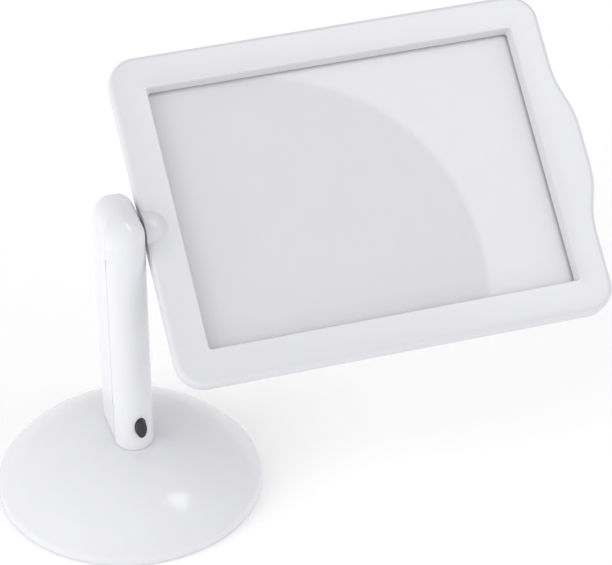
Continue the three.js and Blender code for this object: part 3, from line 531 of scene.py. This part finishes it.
def arm_sheet(part, inset, count):
    """Plan carried up from the dome, then drawn in: across by a half circle, lengthwise by two fillets.

    The seam's gap narrows over the crown: each side shifts towards it, by a share that falls to
    nothing a short way from the seam and grows with height until it is whole.
    """
    plan = arm_outline(part, inset, count)
    half = ARM_HALF - inset
    top = ARM_TOP - inset
    spring = top - half
    foot = dome_height(np.hypot(plan[:, 0], plan[:, 1]), 0.3)
    upright = np.linspace(0, 1, 40)[:, None] ** 0.9
    low = foot[None, :] + (spring - foot[None, :]) * upright
    turn = np.linspace(0, math.pi / 2, 26)[1:]
    height = np.concatenate([low, np.repeat((spring + half * np.sin(turn))[:, None], count, axis=1)])
    across = np.concatenate([np.ones(40), np.cos(turn)])[:, None]

    def drawn_in(radius):
        rise = np.clip(height - (top - radius), 0, radius)
        return radius - np.sqrt(np.maximum(radius**2 - rise**2, 0))

    front = ARM_FRONT + inset + drawn_in(CROWN_FRONT - inset)
    back = ARM_BACK - inset - drawn_in(CROWN_BACK)
    share = (plan[None, :, 1] - (ARM_FRONT + inset)) / (ARM_BACK - ARM_FRONT - 2 * inset)
    near_seam = np.clip(1 - np.abs(plan[None, :, 1] - ARM_SEAM) / CLOSING_REACH, 0, 1)
    closing = SEAM_CLOSING * near_seam * np.clip((height - CLOSING_FROM) / CLOSING_RISE, 0, 1)
    depth = front + share * (back - front) + (closing if part == "front" else -closing)
    return np.stack([plan[None, :, 0] * across, depth, height], -1)


def arm_shell(name, part, count):
    """Outer and inner sheets joined along both seams and under the foot."""
    outer = arm_sheet(part, 0.0, count)
    inner = arm_sheet(part, ARM_WALL, count)
    wall = np.concatenate([outer, inner[:, ::-1]], axis=1)
    foot = np.stack([outer[0], inner[0]])
    return surface(name, [(wall, True, False), (foot, False, False)], 38)


def oval(name, half_width, half_height, low, high, count=64):
    """Upright oval bar along Y at the button's place, for cutting."""
    angle = np.linspace(0, 2 * math.pi, count, endpoint=False)
    scale = np.array([0.0, 1.0, 1.0, 0.0])[:, None]
    places = np.array([low, low, high, high])
    grid = np.stack([
        BUTTON_X + scale * half_width * np.cos(angle),
        np.repeat(places[:, None], count, axis=1),
        BUTTON_Z + scale * half_height * np.sin(angle),
    ], -1)
    return surface(name, [(grid, True, False)])


def block(name, low, high):
    """Closed box between two corners, for cutting."""
    x0, y0, z0 = low
    x1, y1, z1 = high
    ring = np.array([[x0, y0], [x1, y0], [x1, y1], [x0, y1]])
    grid = np.stack([np.column_stack([ring, np.full(4, z)]) for z in (z0, z1)])
    return surface(name, [(grid, True, False), (grid[0], False, False), (grid[1], False, False)])


rear = arm_shell("arm_rear_skin", "rear", 120)
well_bottom = ARM_BACK - 3.1
wells = [
    rod(f"well_{z:.0f}", SCREW_WELL, well_bottom, ARM_BACK + 5, "y", (0.0, z)) for z in ARM_SCREW_HEIGHTS
]
axle_way = rod("axle_way", AXLE_WAY, 5, 15, "x", (PIVOT_Y, PIVOT_HEIGHT))
carve(rear, [*wells, axle_way], 38)
dress(rear, LIT_WHITE, "arm", "white_abs", "arm_rear_shell")

nose = arm_shell("arm_front_skin", "front", 72)
notch_low = (-20, ARM_SEAM - NOTCH_WIDTH, NOTCH_LOW)
notch = block("notch", notch_low, (-NOSE_HALF + 0.9, ARM_SEAM + 1, NOTCH_HIGH))
way_size = (BUTTON_HALF_WIDTH + BUTTON_GAP, BUTTON_HALF_HEIGHT + BUTTON_GAP)
carve(nose, [oval("button_way", *way_size, ARM_FRONT - 5, ARM_SEAM - 1), notch], 38)
dress(nose, LIT_WHITE, "arm", "white_abs", "arm_front_shell")


def button_grid():
    """Oval rings from the hidden lip to the face: a softened edge, then a shallow dish in the middle."""
    edge = [(1.0, 1.0, 0.9), (0.99, 0.995, 0.5), (0.94, 0.97, 0.15), (0.84, 0.92, 0.0)]
    dish = [(0.74, 0.87, 0.06), (0.55, 0.72, 0.3), (0.3, 0.42, 0.42), (0.0, 0.0, 0.45)]
    steps = [(0.0, 0.0, BUTTON_LIP), (1.0, 1.0, BUTTON_LIP)]
    steps += [(wide, tall, BUTTON_FACE + depth) for wide, tall, depth in edge + dish]
    angle = np.linspace(0, 2 * math.pi, 72, endpoint=False)
    wide, tall, deep = np.array(steps).T
    return np.stack([
        BUTTON_X + wide[:, None] * BUTTON_HALF_WIDTH * np.cos(angle),
        np.repeat(deep[:, None], 72, axis=1),
        BUTTON_Z + tall[:, None] * BUTTON_HALF_HEIGHT * np.sin(angle),
    ], -1)


button = surface("oval_button", [(button_grid(), True, False)], 60)
dress(button, SATIN_BLACK, "button", "black_plastic", "power_button")


# ---- lens head ------------------------------------------------------------------------------------
def even(start, end, count):
    """Points at equal steps on a straight line."""
    return spread(np.array([start, end], float), count)


def head_loop(inset):
    """Head outline from the grip round the corners: four arcs, and a swell made of two S curves."""
    left, right = HEAD_LEFT + inset, HEAD_RIGHT - inset
    half, corner = HEAD_HALF - inset, HEAD_CORNER - inset
    grip = right + GRIP_BULGE
    ease = (GRIP_HALF_LENGTH - GRIP_HALF_FLAT) / 2
    low, flat = -GRIP_HALF_LENGTH, GRIP_HALF_FLAT
    knots = np.array([[right, low], [right, low + ease], [grip, -flat - ease], [grip, -flat]])
    rise = bezier(*knots, 24)
    pieces = [
        even((grip, -flat), (grip, flat), 12),
        (rise * [1, -1])[::-1],
        even((right, GRIP_HALF_LENGTH), (right, half - corner), 8),
        arc((right - corner, half - corner), corner, 0, 90, 18),
        even((right - corner, half), (left + corner, half), 40),
        arc((left + corner, half - corner), corner, 90, 180, 18),
        even((left, half - corner), (left, -half + corner), 30),
        arc((left + corner, -half + corner), corner, 180, 270, 18),
        even((left + corner, -half), (right - corner, -half), 40),
        arc((right - corner, -half + corner), corner, 270, 360, 18),
        even((right, -half + corner), (right, low), 8),
        rise,
    ]
    return np.concatenate([piece[:-1] for piece in pieces])


def window_loop(grow):
    """Window outline with the same number of points as the head's, corner for corner."""
    left, right = WINDOW_LEFT - grow, WINDOW_RIGHT + grow
    half = WINDOW_HEIGHT / 2 + grow
    corner = max(WINDOW_CORNER + max(grow, 0), 0.5)
    side = half - corner
    pieces = [
        even((right, -GRIP_HALF_FLAT), (right, GRIP_HALF_FLAT), 12),
        even((right, GRIP_HALF_FLAT), (right, GRIP_HALF_LENGTH), 24),
        even((right, GRIP_HALF_LENGTH), (right, side), 8),
        arc((right - corner, side), corner, 0, 90, 18),
        even((right - corner, half), (left + corner, half), 40),
        arc((left + corner, side), corner, 90, 180, 18),
        even((left, side), (left, -side), 30),
        arc((left + corner, -side), corner, 180, 270, 18),
        even((left + corner, -half), (right - corner, -half), 40),
        arc((right - corner, -side), corner, 270, 360, 18),
        even((right, -side), (right, -GRIP_HALF_LENGTH), 8),
        even((right, -GRIP_HALF_LENGTH), (right, -GRIP_HALF_FLAT), 24),
    ]
    return np.concatenate([piece[:-1] for piece in pieces])


def stacked(loops):
    """Rings at heights: a list of (loop, z) as a grid[ring, point] in the head's frame."""
    return np.stack([np.column_stack([loop, np.full(len(loop), z)]) for loop, z in loops])


def rounded_edge(face, inward):
    """Rings of a quarter circle from the side wall to a face; inward is the z step into the head."""
    rings = []
    for turn in np.radians(np.linspace(0, 90, 9))[1:]:
        depth = HEAD_EDGE * (1 - math.sin(turn))
        rings.append((head_loop(HEAD_EDGE * (1 - math.cos(turn))), face + inward * depth))
    return rings


def front_bezel_rings():
    """Front frame's closed section: side wall, rounded edge, face, window edge, leaning wall, lip."""
    rings = [(head_loop(0.0), SPLIT), (head_loop(0.0), HEAD_FRONT - HEAD_EDGE)]
    rings += rounded_edge(HEAD_FRONT, -1)
    for turn in np.radians(np.linspace(0, 78, 6)):
        depth = WINDOW_EDGE * (1 - math.cos(turn))
        rings.append((window_loop(WINDOW_EDGE * (1 - math.sin(turn))), HEAD_FRONT - depth))
    lean = WINDOW_DRAFT / (HEAD_FRONT - LENS_FACE)
    lowest = -lean * (HEAD_FRONT - LIP_BOTTOM)
    rings += [(window_loop(lowest), LIP_BOTTOM), (window_loop(lowest + 0.7), LIP_BOTTOM)]
    seat = window_loop(LENS_LAND + 1.2)
    rings += [(seat, LIP_BOTTOM), (seat, SPLIT)]
    return stacked(rings)


def rear_bezel_rings():
    """Rear frame's closed section: side wall, rounded edge, back face, window wall, lens seat."""
    chamfer = 0.35
    rings = [(head_loop(chamfer), -SPLIT), (head_loop(0.0), -SPLIT - chamfer)]
    rings += [(head_loop(0.0), HEAD_BACK + HEAD_EDGE), *rounded_edge(HEAD_BACK, 1)]
    throat = -WINDOW_DRAFT
    rings += [(window_loop(throat + 0.5), HEAD_BACK), (window_loop(throat + 0.15), HEAD_BACK + 0.15)]
    shelf = LENS_FACE - LENS_THICKNESS - SEAT_ROOM
    land = LENS_LAND + SEAT_ROOM
    rings += [(window_loop(throat), HEAD_BACK + 0.5), (window_loop(throat), shelf)]
    rings += [(window_loop(land), shelf), (window_loop(land), -SPLIT)]
    return stacked(rings)


def head_rods(name, radius, low, high, places, sides=36):
    """Closed round bars square to the face at a list of places, for cutting."""
    section = [[0, low], [radius, low], [radius, high], [0, high]]
    grids = [to_head(turned(section, sides, "z", place)) for place in places]
    return [surface(f"{name}_{i}", [(grid, True, False)]) for i, grid in enumerate(grids)]


def ring_band(low_z, high_z, inner, outer):
    """Closed square-section ring between two window outlines."""
    return stacked([
        (window_loop(inner), low_z), (window_loop(inner), high_z),
        (window_loop(outer), high_z), (window_loop(outer), low_z),
    ])


front = surface("front_frame", [(to_head(front_bezel_rings()), True, True)], 30)
dress(front, SHADED_WHITE, "head", "white_abs", "bezel_front")

back = surface("rear_frame", [(to_head(rear_bezel_rings()), True, True)], 30)
holes = head_rods("seat", SCREW_WELL, HEAD_BACK - 1, HEAD_BACK + 1.95, HEAD_SCREWS)
holes += head_rods("shank", SCREW_WAY, HEAD_BACK + 1, 3, HEAD_SCREWS, 24)
holes += head_rods("lamp_way", LAMP_WAY, HEAD_BACK - 1, 3, LAMPS)
carve(back, holes, 30)
dress(back, SHADED_WHITE, "head", "white_abs", "bezel_rear")

# Painted shade: this black ring in the gap over the lens stands in for the shadow there and is no real
# gasket.
shade_ring_grid = ring_band(LENS_FACE + 0.05, LIP_BOTTOM - 0.05, 0.2, 2.6)
shade_ring = surface("lens_shade_ring", [(to_head(shade_ring_grid), True, True)])
dress(shade_ring, GAP_SHADE_BLACK, "head", "black_rubber")


def lens_rings():
    """Flat sheet with chamfered edges; its centre is closed by the two end rings."""
    chamfer = 0.3
    back_z = LENS_FACE - LENS_THICKNESS
    wide, narrow = window_loop(LENS_LAND), window_loop(LENS_LAND - chamfer)
    return stacked([
        (narrow, back_z), (wide, back_z + chamfer), (wide, LENS_FACE - chamfer), (narrow, LENS_FACE),
    ])


sheet_rings = to_head(lens_rings())
sheet_faces = [(sheet_rings[0], False, False), (sheet_rings[-1], False, False)]
pane = surface("lens_pane", [(sheet_rings, True, False), *sheet_faces], 20)
dress(pane, LENS_CLEAR, "head", "clear_acrylic", "lens")


def hub_profile():
    """Bullet section along the tilt axis: a flat end by the arm, a short straight, a round nose."""
    start = HEAD_LEFT + 0.02
    nose_centre = HEAD_LEFT + HUB_STRAIGHT
    rounding = [[HUB_RADIUS - 0.1, start + 0.12], [HUB_RADIUS, start + 0.4]]
    return np.concatenate([
        [[0.0, start], [HUB_RADIUS - 0.4, start], *rounding],
        arc((nose_centre, 0.0), HUB_RADIUS, 90, 0, 28)[:, ::-1],
    ])


hub = surface("tilt_hub", [(to_head(turned(hub_profile(), 96, "x", (AXLE_ROW, 0.0))), True, False)], 40)
dress(hub, SHADED_WHITE, "head", "white_abs")


def lamp_profile():
    """Lamp: upright can with a round clear end that looks out of the back."""
    return np.concatenate([
        [[0.0, LAMP_TOP], [LAMP_RADIUS, LAMP_TOP]],
        arc((0.0, HEAD_BACK + LAMP_RECESS + LAMP_RADIUS), LAMP_RADIUS, 0, -90, 10),
    ])


for number, place in enumerate(LAMPS, 1):
    lamp = surface(f"lamp_{number}", [(to_head(turned(lamp_profile(), 40, "z", place)), True, False)])
    dress(lamp, LAMP, "head", "lamp_resin", f"led_{number}")

# ---- finishes of the parts shown as they are ------------------------------------------------------
PLAIN_PARTS = {
    INNER_WHITE: ["base_plate", "battery_door"],
    CAST: ["ballast_plate"],
    SATIN_BLACK: ["battery_holder", "switch_body"],
    JACKET: [f"battery_{n}" for n in (1, 2, 3)],
    BRASS: ["contact_strip_left", "contact_strip_right", "swivel_washer", "tilt_washer"],
    BOARD: ["led_board"],
    STEEL: [
        *[f"contact_spring_{n}" for n in (1, 2, 3)],
        *[f"base_screw_{n}" for n in (1, 2, 3, 4)],
        *[f"head_screw_{n}" for n in (1, 2, 3, 4, 5, 6)],
        "arm_screw_1", "arm_screw_2", "swivel_spigot", "swivel_nut", "switch_plunger",
        "tilt_axle", "tilt_nut",
    ],
}
for material, names in PLAIN_PARTS.items():
    for name in names:
        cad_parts[name].data.materials.clear()
        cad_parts[name].data.materials.append(material)


# ---- studio ---------------------------------------------------------------------------------------
def studio_floor():
    """Level sheet that curves up behind: straight, a quarter circle, then straight up."""
    radius = 1.5
    turn = np.linspace(0, math.pi / 2, 24)
    depth = np.concatenate([[-6.0], 4.0 + radius * np.sin(turn), [4.0 + radius]])
    height = np.concatenate([[0.0], radius * (1 - np.cos(turn)), [6.0]])
    across = np.array([-7.0, 7.0])
    grid = np.stack([
        np.repeat(across[None], len(depth), axis=0),
        np.repeat(depth[:, None], 2, axis=1),
        np.repeat(height[:, None], 2, axis=1),
    ], -1)
    return grid / MM


def emitter(name, strength):
    """White glow of a constant strength."""
    make = Finish(name)
    glow = make.node("ShaderNodeEmission", None, {"Color": rgb(1.0), "Strength": strength})
    end = make.tree.nodes.new("ShaderNodeOutputMaterial")
    make.tree.links.new(glow.socket, end.inputs["Surface"])
    return make.material


floor = surface("studio_floor", [(studio_floor(), False, False)])
floor_finish = Finish("studio_paper")
floor.data.materials.append(floor_finish.done(
    Base_Color=rgb(0.93), Roughness=0.9, Emission_Color=rgb(1.0), Emission_Strength=0.14
))


def curved_panel():
    """Overhead panel whose near edge is an arc: rings about a centre, from the arc outwards."""
    angle = np.radians(np.linspace(-25, 100, 60))
    reach = np.array([266.0, 330.0, 420.0, 560.0, 760.0])
    return np.stack([
        370.0 + reach[:, None] * np.cos(angle),
        -645.0 + reach[:, None] * np.sin(angle),
        np.full((len(reach), len(angle)), 1500.0),
    ], -1)


panel = surface("curved_panel", [(curved_panel(), False, False)])
panel.data.materials.append(emitter("panel_glow", 3.8))
panel.visible_camera = False
panel.visible_diffuse = False
panel.visible_shadow = False
panel.visible_transmission = False


def area_light(name, place, aim, size, power):
    """Square soft light at a place, turned to face a point."""
    lamp = bpy.data.lights.new(name, "AREA")
    lamp.shape = "RECTANGLE"
    lamp.size, lamp.size_y = size
    lamp.energy = power
    holder = bpy.data.objects.new(name, lamp)
    bpy.context.scene.collection.objects.link(holder)
    holder.location = place
    holder.rotation_euler = (Vector(aim) - Vector(place)).to_track_quat("-Z", "Y").to_euler()
    holder.visible_glossy = False


area_light("key_light", (-2.3, -0.7, 1.2), (0.05, 0.0, 0.1), (1.8, 1.8), 30.0)
area_light("fill_light", (1.9, -1.2, 1.2), (0.05, 0.0, 0.1), (1.6, 1.6), 14.0)

world = bpy.data.worlds.new("studio_air")
world.use_nodes = True
world.node_tree.nodes["Background"].inputs["Color"].default_value = (1.0, 1.0, 1.0, 1.0)
world.node_tree.nodes["Background"].inputs["Strength"].default_value = 0.70
bpy.context.scene.world = world
bpy.context.scene.view_settings.view_transform = "Standard"
bpy.context.scene.view_settings.look = "None"


# ---- camera ---------------------------------------------------------------------------------------
def place_camera():
    """Camera on a ray from its target, set by azimuth and elevation, and rolled about the ray."""
    azimuth, elevation, roll = (math.radians(x) for x in (-17.03, 35.82, 0.31))
    distance, focal = 1.4935, 3000.3 / 612 * 36
    target = Vector((0.09365, -0.0026, 0.10615))
    back_ray = Vector((
        math.sin(azimuth) * math.cos(elevation),
        -math.cos(azimuth) * math.cos(elevation),
        math.sin(elevation),
    ))
    right = Vector((math.cos(azimuth), math.sin(azimuth), 0.0))
    up = back_ray.cross(right)
    across = right * math.cos(roll) - up * math.sin(roll)
    upward = right * math.sin(roll) + up * math.cos(roll)
    data = bpy.data.cameras.new("view_camera")
    data.sensor_fit = "HORIZONTAL"
    data.sensor_width = 36.0
    data.lens = focal
    data.clip_start, data.clip_end = 0.1, 30.0
    camera = bpy.data.objects.new("view_camera", data)
    bpy.context.scene.collection.objects.link(camera)
    turn = Matrix((across, upward, back_ray)).transposed().to_4x4()
    camera.matrix_world = Matrix.Translation(target + back_ray * distance) @ turn
    bpy.context.scene.camera = camera


place_camera()
